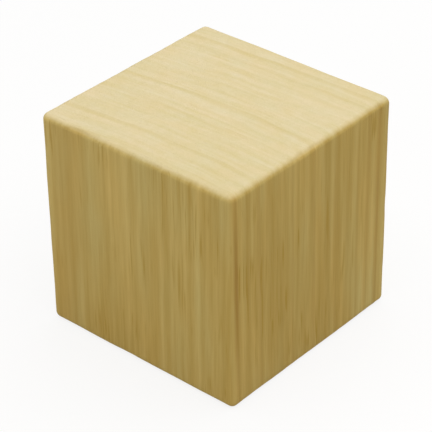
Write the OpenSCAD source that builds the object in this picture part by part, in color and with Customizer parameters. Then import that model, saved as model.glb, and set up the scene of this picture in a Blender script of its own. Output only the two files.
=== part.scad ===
// A solid wooden cube: one length sawn off a square, planed stick of pale
// softwood, with its edges and corners eased by sanding.
// The grain runs up Z, so the top and the bottom are end grain and the four
// sides are long grain. The cube stands on the XY plane, centred over the
// origin. All sizes are in millimetres.

/* [Stick] */
// Width of the planed stick, along X
stick_width = 50; // [20:0.5:100]
// Depth of the planed stick, along Y
stick_depth = 50; // [20:0.5:100]

/* [Cut] */
// Length sawn off the stick, along the grain and Z
sawn_length = 50; // [20:0.5:100]

/* [Sanding] */
// Radius that sanding leaves along the edges and at the corners
eased_radius = 1.5; // [0.5:0.1:8]

/* [Finish] */
// Colour of the bare wood
wood_colour = "#e3d3a4"; // [#e3d3a4:Pale softwood, #d8b98a:Beech, #b98a5a:Cherry]

/* [Hidden] */

// Facets of a full turn, where a round is drawn as a mesh
$fn = 64;
// How far the cutters reach past the faces of the block
overcut = 1;
// From the middle of the block out to the centres of its eased corners
reach = [stick_width, stick_depth, sawn_length] / 2 - eased_radius * [1, 1, 1];

// The children and their mirror image across the middle of one axis
module both_ways(axis) {
    children();
    mirror(axis)
        children();
}

// What sanding takes off an edge: the square corner of wood outside the
// round, for an edge that runs along Z with its wood towards +X and +Y.
// The centre line of the round is on the Z axis.
module edge_waste(length) {
    linear_extrude(height = length, center = true)
        difference() {
            square(eased_radius + overcut);
            circle(r = eased_radius);
        }
}

// What sanding takes off a corner: the wood outside a ball that runs
// smoothly into the three eased edges. The ball's centre is the origin.
module corner_waste() {
    difference() {
        cube(eased_radius + overcut);
        sphere(r = eased_radius);
    }
}

// All the wood that sanding takes off the block: one edge of each direction
// and one corner, repeated by mirroring to make twelve edges and eight corners
module sanded_off() {
    x = [1, 0, 0];
    y = [0, 1, 0];
    z = [0, 0, 1];

    // Edges along the grain
    both_ways(x) both_ways(y)
        translate([reach.x, reach.y, 0])
            edge_waste(2 * reach.z);
    // Edges of the end grain that run along X
    both_ways(y) both_ways(z)
        translate([0, reach.y, reach.z])
            rotate([0, -90, 0])
                edge_waste(2 * reach.x);
    // Edges of the end grain that run along Y
    both_ways(x) both_ways(z)
        translate([reach.x, 0, reach.z])
            rotate([90, 0, 0])
                edge_waste(2 * reach.y);
    // Corners
    both_ways(x) both_ways(y) both_ways(z)
        translate(reach)
            corner_waste();
}

// The finished cube
module wooden_cube() {
    color(wood_colour)
        translate([0, 0, sawn_length / 2])
            difference() {
                cube([stick_width, stick_depth, sawn_length], center = true);
                sanded_off();
            }
}

wooden_cube();
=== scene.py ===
from math import pi, radians

import bpy
import numpy as np
from mathutils import Matrix, Vector


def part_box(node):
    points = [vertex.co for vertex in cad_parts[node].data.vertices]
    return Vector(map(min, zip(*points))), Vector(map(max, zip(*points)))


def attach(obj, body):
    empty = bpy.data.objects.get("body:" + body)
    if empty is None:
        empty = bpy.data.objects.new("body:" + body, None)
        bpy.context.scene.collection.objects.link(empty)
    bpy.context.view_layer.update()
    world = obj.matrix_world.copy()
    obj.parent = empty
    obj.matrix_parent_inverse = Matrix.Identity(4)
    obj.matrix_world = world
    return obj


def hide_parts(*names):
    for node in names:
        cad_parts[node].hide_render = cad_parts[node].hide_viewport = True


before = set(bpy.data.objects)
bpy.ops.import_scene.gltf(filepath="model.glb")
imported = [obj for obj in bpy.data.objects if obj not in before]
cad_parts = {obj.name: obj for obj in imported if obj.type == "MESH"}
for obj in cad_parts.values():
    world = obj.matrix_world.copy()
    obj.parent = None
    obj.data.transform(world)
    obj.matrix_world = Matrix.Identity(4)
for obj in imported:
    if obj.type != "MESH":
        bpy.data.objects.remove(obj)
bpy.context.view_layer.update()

# ---------------------------------------------------------------------------
# The camera: an ordinary long lens on a tripod, a little over eight cube
# edges away, looking down at one upright edge of the cube.
# ---------------------------------------------------------------------------
low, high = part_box("wooden_cube")
edge = high.z - low.z
middle = (low + high) / 2

azimuth = radians(41.36)
elevation = radians(33.09)
roll = radians(-0.875)
distance = 8.152 * edge
slide_right = -0.0101 * edge
slide_up = -0.0275 * edge

camera_data = bpy.data.cameras.new("camera")
camera_data.sensor_width = 36.0
camera_data.lens = 164.45
camera_data.clip_start = 0.01
camera_data.clip_end = 20.0
camera = bpy.data.objects.new("camera", camera_data)
bpy.context.scene.collection.objects.link(camera)
bpy.context.scene.camera = camera

swing = Matrix.Rotation(azimuth, 3, "Z") @ Matrix.Rotation(-elevation, 3, "X")
towards_camera = swing @ Vector((0, -1, 0))
level_right = Vector((0, 0, 1)).cross(towards_camera).normalized()
level_up = towards_camera.cross(level_right)
place = middle + towards_camera * distance + level_right * slide_right + level_up * slide_up
turn = Matrix((level_right, level_up, towards_camera)).transposed() @ Matrix.Rotation(roll, 3, "Z")
camera.matrix_world = Matrix.Translation(place) @ turn.to_4x4()


# ---------------------------------------------------------------------------
# The cube: one length sawn off a square planed stick of pale softwood, with
# its grain upright. A belt sander eased the edges and corners, and left the
# flats very slightly hollow and the rounds not quite even.
# ---------------------------------------------------------------------------
grain_lean = (radians(-0.5), radians(-0.5), 0)   # the fibres aren't quite upright in the block


def add(tree, kind, inputs=None, **settings):
    """Adds a node, makes its settings, and fills its inputs with values, sockets or other nodes."""
    node = tree.nodes.new(kind)
    for name, value in settings.items():
        setattr(node, name, value)
    for key, value in (inputs or {}).items():
        if isinstance(key, int):
            socket = node.inputs[key]
        else:
            socket = next(s for s in node.inputs if s.enabled and s.name == key)
        if isinstance(value, bpy.types.Node):
            value = next(s for s in value.outputs if s.enabled)
        if isinstance(value, bpy.types.NodeSocket):
            tree.links.new(value, socket)
        else:
            socket.default_value = value
    return node


def sanded_block_tree(material):
    """Geometry Nodes that make the block: a fine grid on a box, eased to the sanded rounds.

    Sizes are in metres, and years, end_grain and eased go to the material as attributes.
    """
    tree = bpy.data.node_groups.new("sanded_block", "GeometryNodeTree")
    sockets = {}
    for name, kind in (
        ("Size", "NodeSocketVector"),
        ("Easing", "NodeSocketFloat"),
        ("Uneven Easing", "NodeSocketFloat"),
        ("Hollow", "NodeSocketFloat"),
        ("Knocks", "NodeSocketFloat"),
        ("Pith", "NodeSocketVector"),
        ("Ring Width", "NodeSocketFloat"),
        ("Ring Wander", "NodeSocketFloat"),
        ("First Ring", "NodeSocketFloat"),
        ("Ring Relief", "NodeSocketFloat"),
        ("Cells", "NodeSocketInt"),
        ("Round Cells", "NodeSocketInt"),
    ):
        item = tree.interface.new_socket(name=name, in_out="INPUT", socket_type=kind)
        sockets[name] = item.identifier
    tree.interface.new_socket(name="Geometry", in_out="OUTPUT", socket_type="NodeSocketGeometry")
    given = add(tree, "NodeGroupInput")

    # A grid on a cube from -1 to 1, with the same number of cells each way
    corners = add(tree, "ShaderNodeMath", {0: given.outputs["Cells"], 1: 1.0}, operation="ADD")
    grid = add(tree, "GeometryNodeMeshCube", {"Size": (2, 2, 2)})
    for axis in "XYZ":
        tree.links.new(corners.outputs[0], grid.inputs["Vertices " + axis])
    at = add(tree, "GeometryNodeInputPosition")
    away = add(tree, "ShaderNodeVectorMath", {0: at}, operation="ABSOLUTE")
    way = add(tree, "ShaderNodeVectorMath", {0: at}, operation="SIGN")
    half = add(
        tree, "ShaderNodeVectorMath",
        {0: given.outputs["Size"], "Scale": 0.5},
        operation="SCALE",
    )
    spot = add(tree, "ShaderNodeVectorMath", {0: at, 1: half}, operation="MULTIPLY")

    # The rounds are hand work on a belt, so their radius wanders along each edge
    edge_wander_length = 0.012
    wander = add(
        tree, "ShaderNodeTexNoise",
        {"Vector": spot, "Scale": 1 / edge_wander_length, "Detail": 1.0},
    )
    wander = add(tree, "ShaderNodeMath", {0: wander, 1: 0.5}, operation="SUBTRACT")
    easing = add(
        tree, "ShaderNodeMath",
        {0: wander, 1: given.outputs["Uneven Easing"], 2: given.outputs["Easing"]},
        operation="MULTIPLY_ADD",
    )

    # The last cells before each edge make the round, and the rest the flat
    share = add(
        tree, "ShaderNodeMath",
        {0: given.outputs["Round Cells"], 1: given.outputs["Cells"]},
        operation="DIVIDE",
    )
    flat_end = add(tree, "ShaderNodeMath", {0: share, 1: -2.0, 2: 1.0}, operation="MULTIPLY_ADD")
    reach = add(tree, "ShaderNodeVectorMath", {0: half, 1: easing}, operation="SUBTRACT")
    core = add(
        tree, "ShaderNodeMapRange",
        {"Vector": away, 7: (0, 0, 0), 8: flat_end, 9: (0, 0, 0), 10: reach},
        data_type="FLOAT_VECTOR",
    )
    skirt = add(
        tree, "ShaderNodeMapRange",
        {"Vector": away, 7: flat_end, 8: (1, 1, 1), 9: (0, 0, 0), 10: easing},
        data_type="FLOAT_VECTOR",
    )
    core = core.outputs["Vector"]
    core = add(tree, "ShaderNodeVectorMath", {0: core, 1: way}, operation="MULTIPLY")
    skirt = skirt.outputs["Vector"]
    skirt = add(tree, "ShaderNodeVectorMath", {0: skirt, 1: way}, operation="MULTIPLY")
    outward = add(tree, "ShaderNodeVectorMath", {0: skirt}, operation="NORMALIZE")
    rounded = add(
        tree, "ShaderNodeVectorMath",
        {0: outward, 1: easing, 2: core},
        operation="MULTIPLY_ADD",
    )

    # How far a spot is round an edge: 0 on the flats, 0.29 on an edge, 0.42 at a corner
    steep = add(tree, "ShaderNodeVectorMath", {0: outward}, operation="ABSOLUTE")
    parts = add(tree, "ShaderNodeSeparateXYZ", {0: steep})
    most = add(
        tree, "ShaderNodeMath",
        {0: parts.outputs["X"], 1: parts.outputs["Y"]},
        operation="MAXIMUM",
    )
    most = add(tree, "ShaderNodeMath", {0: most, 1: parts.outputs["Z"]}, operation="MAXIMUM")
    eased = add(tree, "ShaderNodeMath", {0: 1.0, 1: most}, operation="SUBTRACT")

    # Growth rings: years counted outwards from a pith that lies well outside the block
    upright = add(
        tree, "ShaderNodeVectorRotate",
        {"Vector": rounded, "Rotation": grain_lean},
        rotation_type="EULER_XYZ",
    )
    out = add(
        tree, "ShaderNodeVectorMath",
        {0: upright, 1: given.outputs["Pith"]},
        operation="SUBTRACT",
    )
    out = add(tree, "ShaderNodeVectorMath", {0: out, 1: (1, 1, 0)}, operation="MULTIPLY")
    out = add(tree, "ShaderNodeVectorMath", {0: out}, operation="LENGTH")
    depth = add(tree, "ShaderNodeVectorMath", {0: given.outputs["Pith"]}, operation="LENGTH")
    out = add(
        tree, "ShaderNodeMath",
        {0: out.outputs["Value"], 1: depth.outputs["Value"]},
        operation="SUBTRACT",
    )
    years = add(tree, "ShaderNodeMath", {0: out, 1: given.outputs["Ring Width"]}, operation="DIVIDE")
    years = add(tree, "ShaderNodeMath", {0: years, 1: given.outputs["First Ring"]}, operation="ADD")

    # No ring is a true circle: each sways in and out, slowly round the stem and slower up it
    sway_length = 0.016
    sway = add(tree, "ShaderNodeVectorMath", {0: upright, 1: (1, 1, 0.15)}, operation="MULTIPLY")
    sway = add(tree, "ShaderNodeTexNoise", {"Vector": sway, "Scale": 1 / sway_length, "Detail": 1.0})
    sway = add(tree, "ShaderNodeMath", {0: sway, 1: 0.5}, operation="SUBTRACT")
    years = add(
        tree, "ShaderNodeMath",
        {0: sway, 1: given.outputs["Ring Wander"], 2: years},
        operation="MULTIPLY_ADD",
    )

    # Sanding wears the soft early wood lower than the hard late wood, most of all on the end
    # grain. The wood is hardest at this part of its year.
    hardest = 0.85
    season = add(
        tree, "ShaderNodeMath",
        {0: years, 1: 2 * pi, 2: -hardest * 2 * pi},
        operation="MULTIPLY_ADD",
    )
    soft = add(tree, "ShaderNodeMath", {0: season}, operation="COSINE")
    soft = add(tree, "ShaderNodeMath", {0: soft, 1: -0.5, 2: 0.5}, operation="MULTIPLY_ADD")
    bare_ends = add(
        tree, "ShaderNodeMapRange",
        {"Value": parts.outputs["Z"], "To Min": 0.2, "To Max": 1.0},
    )
    worn = add(tree, "ShaderNodeMath", {0: soft, 1: bare_ends}, operation="MULTIPLY")
    worn = add(tree, "ShaderNodeMath", {0: worn, 1: given.outputs["Ring Relief"]}, operation="MULTIPLY")

    # The belt leaves the flats a hair hollow, and handling leaves small knocks on the edges
    hollow_length = 0.028
    waves = add(tree, "ShaderNodeTexNoise", {"Vector": spot, "Scale": 1 / hollow_length, "Detail": 0.0})
    worn = add(
        tree, "ShaderNodeMath",
        {0: waves, 1: given.outputs["Hollow"], 2: worn},
        operation="MULTIPLY_ADD",
    )
    knock_length = 0.0045
    knocks = add(tree, "ShaderNodeTexNoise", {"Vector": spot, "Scale": 1 / knock_length, "Detail": 0.0})
    knocks = add(
        tree, "ShaderNodeMapRange",
        {"Value": knocks, "From Min": 0.58, "From Max": 0.8},
        interpolation_type="SMOOTHSTEP",
    )
    knocks = add(tree, "ShaderNodeMath", {0: knocks, 1: eased}, operation="MULTIPLY")
    worn = add(
        tree, "ShaderNodeMath",
        {0: knocks, 1: given.outputs["Knocks"], 2: worn},
        operation="MULTIPLY_ADD",
    )
    sunk = add(tree, "ShaderNodeVectorMath", {0: outward, "Scale": worn}, operation="SCALE")
    place = add(tree, "ShaderNodeVectorMath", {0: rounded, 1: sunk}, operation="SUBTRACT")
    place = add(
        tree, "ShaderNodeVectorMath",
        {0: half, 1: (0, 0, 1), 2: place},
        operation="MULTIPLY_ADD",
    )

    formed = grid
    for name, value in (("years", years), ("end_grain", parts.outputs["Z"]), ("eased", eased)):
        formed = add(
            tree, "GeometryNodeStoreNamedAttribute",
            {"Geometry": formed.outputs[0], "Name": name, "Value": value},
            data_type="FLOAT", domain="POINT",
        )
    formed = add(tree, "GeometryNodeSetPosition", {"Geometry": formed, "Position": place})
    formed = add(tree, "GeometryNodeSetShadeSmooth", {"Geometry": formed})
    formed = add(tree, "GeometryNodeRealizeInstances", {"Geometry": formed})
    formed = add(tree, "GeometryNodeSetMaterial", {"Geometry": formed, "Material": material})
    add(tree, "NodeGroupOutput", {"Geometry": formed})
    return tree, sockets


def linear(colour):
    """An sRGB hex colour as linear red, green, blue and alpha."""
    values = [int(colour[i:i + 2], 16) / 255 for i in (1, 3, 5)]
    return [v / 12.92 if v <= 0.04045 else ((v + 0.055) / 1.055) ** 2.4 for v in values] + [1.0]


def bare_softwood():
    """Softwood such as pine or fir, planed, sanded and left bare.

    To the eye: warm straw yellow with brown late-wood lines on the long faces, paler and greyer
    on the end grain, where the paleness is a painted sheen of the light on it, and matt all over,
    because the cut fibres scatter what falls on them.
    """
    material = bpy.data.materials.new("bare_sanded_softwood")
    material.use_nodes = True
    tree = material.node_tree
    tree.nodes.clear()
    years = add(tree, "ShaderNodeAttribute", attribute_name="years").outputs["Fac"]
    end = add(tree, "ShaderNodeAttribute", attribute_name="end_grain").outputs["Fac"]
    eased = add(tree, "ShaderNodeAttribute", attribute_name="eased").outputs["Fac"]

    # Millimetres in the block, and the same with the third axis turned to run along the fibres
    object_space = add(tree, "ShaderNodeTexCoord")
    mm = add(
        tree, "ShaderNodeVectorMath",
        {0: object_space.outputs["Object"], "Scale": 1000.0},
        operation="SCALE",
    )
    stem = add(tree, "ShaderNodeMapping", {"Vector": mm, "Rotation": grain_lean})

    # Each year's wood darkens slowly from spring on and ends abruptly, and no two years are alike
    year = add(tree, "ShaderNodeMath", {0: years}, operation="FLOOR")
    season = add(tree, "ShaderNodeMath", {0: years, 1: year}, operation="SUBTRACT")
    growth = add(tree, "ShaderNodeTexWhiteNoise", {"W": year}, noise_dimensions="1D")
    growth = add(tree, "ShaderNodeMath", {0: growth, 1: 3.0}, operation="POWER")
    growth = add(tree, "ShaderNodeMapRange", {"Value": growth, "To Min": 0.15, "To Max": 1.0})
    rise = add(
        tree, "ShaderNodeMapRange",
        {"Value": season, "From Min": 0.45, "From Max": 0.82},
        interpolation_type="SMOOTHSTEP",
    )
    fall = add(
        tree, "ShaderNodeMapRange",
        {"Value": season, "From Min": 0.86, "From Max": 1.0, "To Min": 1.0, "To Max": 0.0},
        interpolation_type="SMOOTHSTEP",
    )
    late = add(tree, "ShaderNodeMath", {0: rise, 1: fall}, operation="MULTIPLY")
    late = add(tree, "ShaderNodeMath", {0: late, 1: growth}, operation="MULTIPLY")

    # Bundles of paler and darker fibres: width and length in millimetres, how much they show, and
    # a seed. The finest is five times as wide as a real fibre, 0.035 mm, so that it shows.
    # The two widest, 45 and 14 mm, are broad random tone, with seeds picked so that they also darken the
    # long faces towards the bottom: painted shade.
    streaks = 0.0
    for width, length, shows, seed in (
        (45, 60, 1.3, 8),
        (14, 90, 1.2, 87),
        (1.9, 300, 1.2, 42),
        (1.5, 22, 0.7, 51),
        (0.8, 40, 0.6, 52),
        (0.4, 9, 0.4, 5),
        (0.18, 6, 0.4, 9),
    ):
        bundle = add(
            tree, "ShaderNodeVectorMath",
            {0: stem, 1: (1 / width, 1 / width, 1 / length)},
            operation="MULTIPLY",
        )
        shade = add(
            tree, "ShaderNodeTexNoise",
            {"Vector": bundle, "W": seed, "Scale": 1.0, "Detail": 0.0},
            noise_dimensions="4D",
        )
        shade = add(tree, "ShaderNodeMath", {0: shade, 1: 0.5}, operation="SUBTRACT")
        streaks = add(
            tree, "ShaderNodeMath",
            {0: shade, 1: shows, 2: streaks},
            operation="MULTIPLY_ADD",
        )

    # Within a year the wood also varies in fine layers, four or so to a ring. They change slowly
    # along the ring, and hardly at all up the stem.
    layer_width = 14
    layer_length = 120
    layers_a_year = 4.5
    across = add(tree, "ShaderNodeSeparateXYZ", {0: stem})
    ring_space = add(
        tree, "ShaderNodeCombineXYZ",
        {"X": across.outputs["X"], "Y": years, "Z": across.outputs["Z"]},
    )
    layers = add(
        tree, "ShaderNodeVectorMath",
        {0: ring_space, 1: (1 / layer_width, layers_a_year, 1 / layer_length)},
        operation="MULTIPLY",
    )
    layers = add(
        tree, "ShaderNodeTexNoise",
        {"Vector": layers, "W": 6.0, "Scale": 1.0, "Detail": 1.0},
        noise_dimensions="4D",
    )
    layers = add(tree, "ShaderNodeMath", {0: layers, 1: 0.5}, operation="SUBTRACT")

    # Resin canals: short thin brown dashes along the grain, in loose groups. They are drawn at
    # 0.5 mm, over twice the width of real ones, so that they show.
    dash_width = 0.5
    dash_length = 10
    group_size = 9
    dashes = add(
        tree, "ShaderNodeVectorMath",
        {0: stem, 1: (1 / dash_width, 1 / dash_width, 1 / dash_length)},
        operation="MULTIPLY",
    )
    dashes = add(
        tree, "ShaderNodeTexNoise",
        {"Vector": dashes, "W": 30.0, "Scale": 1.0, "Detail": 0.0},
        noise_dimensions="4D",
    )
    dashes = add(
        tree, "ShaderNodeMapRange",
        {"Value": dashes, "From Min": 0.58, "From Max": 0.75},
        interpolation_type="SMOOTHSTEP",
    )
    groups = add(
        tree, "ShaderNodeTexNoise",
        {"Vector": stem, "W": 50.5, "Scale": 1 / group_size, "Detail": 0.0},
        noise_dimensions="4D",
    )
    groups = add(
        tree, "ShaderNodeMapRange",
        {"Value": groups, "From Min": 0.45, "From Max": 0.65},
    )
    dashes = add(tree, "ShaderNodeMath", {0: dashes, 1: groups}, operation="MULTIPLY")

    # One thin thread of resin runs up beside an upright edge, and fades out along its length
    thread_middle = (24.8, -23.3, 31)
    deep = 3
    wide = 0.8
    long = 27
    resin = add(tree, "ShaderNodeVectorMath", {0: stem, 1: thread_middle}, operation="SUBTRACT")
    resin = add(
        tree, "ShaderNodeVectorMath",
        {0: resin, 1: (1 / deep, 1 / wide, 1 / long)},
        operation="MULTIPLY",
    )
    resin = add(tree, "ShaderNodeVectorMath", {0: resin}, operation="LENGTH")
    resin = resin.outputs["Value"]
    resin = add(
        tree, "ShaderNodeMapRange",
        {"Value": resin, "From Min": 0.0, "From Max": 1.1, "To Min": 0.55, "To Max": 0.0},
        interpolation_type="SMOOTHSTEP",
    )

    # The tone drifts from ring to ring between a warmer and a greener yellow
    tone = add(
        tree, "ShaderNodeVectorMath",
        {0: ring_space, 1: (1 / 7, 1.0, 1 / 25)},
        operation="MULTIPLY",
    )
    tone = add(tree, "ShaderNodeTexNoise", {"Vector": tone, "Scale": 1.0, "Detail": 1.0})
    tone = add(tree, "ShaderNodeMapRange", {"Value": tone, "From Min": 0.3, "From Max": 0.7})

    # The long faces: straw yellow with darker fibres, brown late wood and browner resin
    clear = add(
        tree, "ShaderNodeMix",
        {"Factor": tone, "A": linear("#ebd084"), "B": linear("#e4d28d")},
        data_type="RGBA",
    )
    usual = 0.425
    fibres_show = 0.72
    layers_show = 0.12
    dashes_show = 0.45
    late_shows = 0.5
    dark = add(tree, "ShaderNodeMath", {0: streaks, 1: fibres_show, 2: usual}, operation="MULTIPLY_ADD")
    dark = add(tree, "ShaderNodeMath", {0: layers, 1: layers_show, 2: dark}, operation="MULTIPLY_ADD")
    dark = add(tree, "ShaderNodeMath", {0: dashes, 1: dashes_show, 2: dark}, operation="MULTIPLY_ADD")
    side = add(
        tree, "ShaderNodeMix",
        {"Factor": dark, "A": clear, "B": linear("#c5a44e")},
        data_type="RGBA",
    )
    brown = add(tree, "ShaderNodeMath", {0: late, 1: late_shows}, operation="MULTIPLY")
    side = add(
        tree, "ShaderNodeMix",
        {"Factor": brown, "A": side, "B": linear("#c09840")},
        data_type="RGBA",
    )
    side = add(
        tree, "ShaderNodeMix",
        {"Factor": resin, "A": side, "B": linear("#a67624")},
        data_type="RGBA",
    )

    # The end grain: the same wood cut across, all open pores and with fainter rings, and painted
    # paler and greyer to stand in for the sheen of the light on it.
    # The pores are drawn at 0.3 mm, ten times their real width, so that they show.
    pore = 0.3
    pores = add(tree, "ShaderNodeTexNoise", {"Vector": mm, "Scale": 1 / pore, "Detail": 1.0})
    pores = add(tree, "ShaderNodeMath", {0: pores, 1: 0.5}, operation="SUBTRACT")
    # The paler, greyer end-grain colours below are in part a painted sheen
    paled_by_painted_sheen = add(
        tree, "ShaderNodeMix",
        {"Factor": tone, "A": linear("#e8d7af"), "B": linear("#e6d9b4")},
        data_type="RGBA",
    )
    usual = 0.17
    fibres_show = 0.15
    layers_show = 0.5
    pores_show = 0.2
    late_shows = 0.25
    dim = add(tree, "ShaderNodeMath", {0: streaks, 1: fibres_show, 2: usual}, operation="MULTIPLY_ADD")
    dim = add(tree, "ShaderNodeMath", {0: layers, 1: layers_show, 2: dim}, operation="MULTIPLY_ADD")
    dim = add(tree, "ShaderNodeMath", {0: pores, 1: pores_show, 2: dim}, operation="MULTIPLY_ADD")
    sawn = add(
        tree, "ShaderNodeMix",
        {"Factor": dim, "A": paled_by_painted_sheen, "B": linear("#c5b557")},
        data_type="RGBA",
    )
    brown = add(tree, "ShaderNodeMath", {0: late, 1: late_shows}, operation="MULTIPLY")
    sawn = add(
        tree, "ShaderNodeMix",
        {"Factor": brown, "A": sawn, "B": linear("#c3ac50")},
        data_type="RGBA",
    )

    # On the rounds the colour turns from the long face's to the end grain's, with its painted sheen
    turn = add(
        tree, "ShaderNodeMapRange",
        {"Value": end, "From Min": 0.45, "From Max": 1.0},
    )
    colour = add(tree, "ShaderNodeMix", {"Factor": turn, "A": side, "B": sawn}, data_type="RGBA")

    # Sanded softwood is rough. Dark fibres and late wood are denser and take a little more shine,
    # and the eased edges are rubbed smoothest.
    sanded = 0.72
    dark_shine = -0.2
    late_shine = -0.12
    edge_shine = -0.35
    rough = add(tree, "ShaderNodeMath", {0: streaks, 1: dark_shine, 2: sanded}, operation="MULTIPLY_ADD")
    rough = add(tree, "ShaderNodeMath", {0: late, 1: late_shine, 2: rough}, operation="MULTIPLY_ADD")
    rough = add(tree, "ShaderNodeMath", {0: eased, 1: edge_shine, 2: rough}, operation="MULTIPLY_ADD")

    # Relief: raised fibres on the long faces, sanding scratches and open pores on the ends, and
    # much less of either on the edges. The scratches are drawn at 0.3 mm, some three times those
    # of a 120 grit belt, so that they show.
    fibre_width = 0.25
    fibre_length = 8
    scratch_width = 0.3
    scratch_length = 9
    fibres = add(
        tree, "ShaderNodeVectorMath",
        {0: stem, 1: (1 / fibre_width, 1 / fibre_width, 1 / fibre_length)},
        operation="MULTIPLY",
    )
    fibres = add(tree, "ShaderNodeTexNoise", {"Vector": fibres, "Scale": 1.0, "Detail": 1.0})
    scratches = add(
        tree, "ShaderNodeVectorMath",
        {0: mm, 1: (1 / scratch_length, 1 / scratch_width, 1)},
        operation="MULTIPLY",
    )
    scratches = add(tree, "ShaderNodeTexNoise", {"Vector": scratches, "Scale": 1.0, "Detail": 1.0})
    cut = add(tree, "ShaderNodeMath", {0: pores, 1: scratches}, operation="ADD")
    height = add(tree, "ShaderNodeMix", {"Factor": end, "A": fibres, "B": cut}, data_type="FLOAT")
    rubbed = add(
        tree, "ShaderNodeMapRange",
        {"Value": eased, "From Min": 0.0, "From Max": 0.2, "To Min": 1.0, "To Max": 0.3},
    )
    deepest = 0.0001
    bump = add(tree, "ShaderNodeBump", {"Height": height, "Strength": rubbed, "Distance": deepest})
    shader = add(
        tree, "ShaderNodeBsdfPrincipled",
        {"Base Color": colour, "Roughness": rough, "Specular IOR Level": 0.25, "Normal": bump},
    )
    add(tree, "ShaderNodeOutputMaterial", {"Surface": shader})
    return material


def lay_out_for_baking(mesh):
    """Gives each side its own part of the bake's square: the ends above, and the long faces below.

    The grain changes slowly along its length, so the long faces get half as much height as width.
    """
    places = np.empty(len(mesh.vertices) * 3)
    mesh.vertices.foreach_get("co", places)
    places = (places.reshape(-1, 3) - middle) / ((high - low) / 2)
    corners = np.empty(len(mesh.loops), int)
    mesh.loops.foreach_get("vertex_index", corners)
    corners = corners.reshape(-1, 4)
    centres = places[corners].mean(1)
    facing = np.abs(centres).argmax(1)
    laid = np.zeros((len(corners), 4, 2))
    tall, short, gap = 0.5, 0.25, 0.004
    for axis, (right, up), bottom, height in (
        (0, (1, 2), 0.0, short),
        (1, (0, 2), short, short),
        (2, (0, 1), tall, tall),
    ):
        for left, way in ((0.0, 1), (0.5, -1)):
            side = (facing == axis) & (centres[:, axis] * way > 0)
            mirror = -way if axis == 1 else way
            spot = places[corners[side]][:, :, (right, up)] * (mirror, 1)
            size = (tall - 2 * gap, height - 2 * gap)
            laid[side] = (spot + 1) / 2 * size + (left + gap, bottom + gap)
    mesh.uv_layers.new(name="OFBake").uv.foreach_set("vector", laid.ravel())


softwood = bare_softwood()
tree, sockets = sanded_block_tree(softwood)
form = bpy.data.objects.new("form", bpy.data.meshes.new("form"))
bpy.context.scene.collection.objects.link(form)
nodes = form.modifiers.new("sanded_block", "NODES")
nodes.node_group = tree

# The fraction of First Ring sets where the rings lie, and its whole part which years grew well
nodes[sockets["Size"]] = high - low
nodes[sockets["Easing"]] = 0.0015
nodes[sockets["Uneven Easing"]] = 0.0006
nodes[sockets["Hollow"]] = 0.00006
nodes[sockets["Knocks"]] = 0.0003
nodes[sockets["Pith"]] = Vector((0.012, -0.26, 0))
nodes[sockets["Ring Width"]] = 0.0034
nodes[sockets["Ring Wander"]] = 0.6
nodes[sockets["First Ring"]] = 1161.6
nodes[sockets["Ring Relief"]] = 0.00003
nodes[sockets["Cells"]] = 104
nodes[sockets["Round Cells"]] = 7

made = form.evaluated_get(bpy.context.evaluated_depsgraph_get())
mesh = bpy.data.meshes.new_from_object(made)
mesh.name = "sanded_cube"
bpy.data.objects.remove(form)
lay_out_for_baking(mesh)
cube = bpy.data.objects.new("sanded_cube", mesh)
bpy.context.scene.collection.objects.link(cube)
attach(cube, "root")
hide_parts("wooden_cube")

# ---------------------------------------------------------------------------
# The stage: a table top covered with matt white paper, lit evenly by one wide
# softbox overhead and a small fill lamp in front, in a room with pale walls.
# ---------------------------------------------------------------------------
floor_mesh = bpy.data.meshes.new("table_top")
reach = 3.0
floor_mesh.from_pydata(
    [(-reach, -reach, 0), (reach, -reach, 0), (reach, reach, 0), (-reach, reach, 0)],
    [], [(0, 1, 2, 3)],
)
floor = bpy.data.objects.new("table_top", floor_mesh)
bpy.context.scene.collection.objects.link(floor)


def shows_white(tree):
    """1 for what the camera, a mirror or glass sees, and 0 for the light that falls on things."""
    path = add(tree, "ShaderNodeLightPath")
    seen = add(
        tree, "ShaderNodeMath",
        {0: path.outputs["Is Camera Ray"], 1: path.outputs["Is Glossy Ray"]},
        operation="MAXIMUM",
    )
    return add(
        tree, "ShaderNodeMath",
        {0: seen, 1: path.outputs["Is Transmission Ray"]},
        operation="MAXIMUM",
    )


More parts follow.
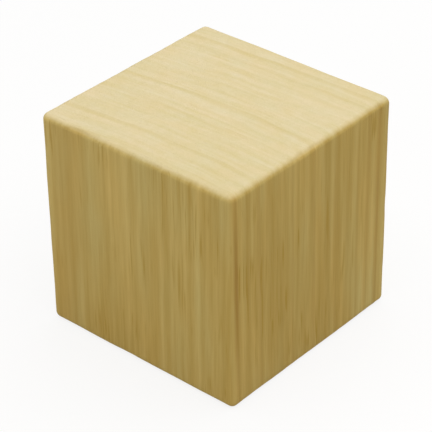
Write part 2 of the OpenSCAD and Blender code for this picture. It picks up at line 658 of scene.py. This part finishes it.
# Matt white paper: no shine at all, plain white wherever nothing shades it, and a warm pale
# bounce on the wood above it. The shade fades out to pure white away from the cube.
paper = bpy.data.materials.new("matt_pale_paper")
paper.use_nodes = True
tree = paper.node_tree
tree.nodes.clear()
matt = add(tree, "ShaderNodeBsdfDiffuse", {"Color": linear("#b8b09a")})
bright = add(tree, "ShaderNodeBsdfDiffuse", {"Color": linear("#ffffff")})
glow = add(tree, "ShaderNodeEmission", {"Color": linear("#ffffff"), "Strength": 1.0})
spot = add(tree, "ShaderNodeTexCoord").outputs["Object"]
away = add(tree, "ShaderNodeVectorMath", {0: spot}, operation="LENGTH")
plain = add(
    tree, "ShaderNodeMapRange",
    {"Value": away.outputs["Value"], "From Min": 0.15, "From Max": 0.45, "To Min": 0.84, "To Max": 1.0},
    interpolation_type="SMOOTHSTEP",
)
shadowed = add(tree, "ShaderNodeMixShader", {0: plain, 1: bright, 2: glow})
shown = add(tree, "ShaderNodeMixShader", {0: shows_white(tree), 1: matt, 2: shadowed})
add(tree, "ShaderNodeOutputMaterial", {"Surface": shown})
floor_mesh.materials.append(paper)

# The walls give a dim warm light, and look plain white
world = bpy.data.worlds.new("studio")
bpy.context.scene.world = world
world.use_nodes = True
tree = world.node_tree
tree.nodes.clear()
dim = add(tree, "ShaderNodeBackground", {"Color": linear("#fff7ea"), "Strength": 0.25})
white = add(tree, "ShaderNodeBackground", {"Color": linear("#ffffff"), "Strength": 1.0})
shown = add(tree, "ShaderNodeMixShader", {0: shows_white(tree), 1: dim, 2: white})
add(tree, "ShaderNodeOutputWorld", {"Surface": shown})

bpy.context.scene.view_settings.view_transform = "Standard"


def softbox(name, colour, watts, side, place, target):
    """A square light with a diffusing front, aimed at a point."""
    data = bpy.data.lights.new(name, "AREA")
    data.shape = "SQUARE"
    data.size = side
    data.energy = watts
    data.color = linear(colour)[:3]
    lamp = bpy.data.objects.new(name, data)
    bpy.context.scene.collection.objects.link(lamp)
    lamp.location = place
    lamp.rotation_euler = (Vector(place) - Vector(target)).to_track_quat("Z", "Y").to_euler()


softbox("overhead_softbox", "#ffffff", 7.0, 1.2, (0.15, 0.14, 0.72), (0.15, 0.14, 0))
softbox("front_fill", "#ffffff", 0.85, 0.5, (0, -0.8, 0.2), middle)
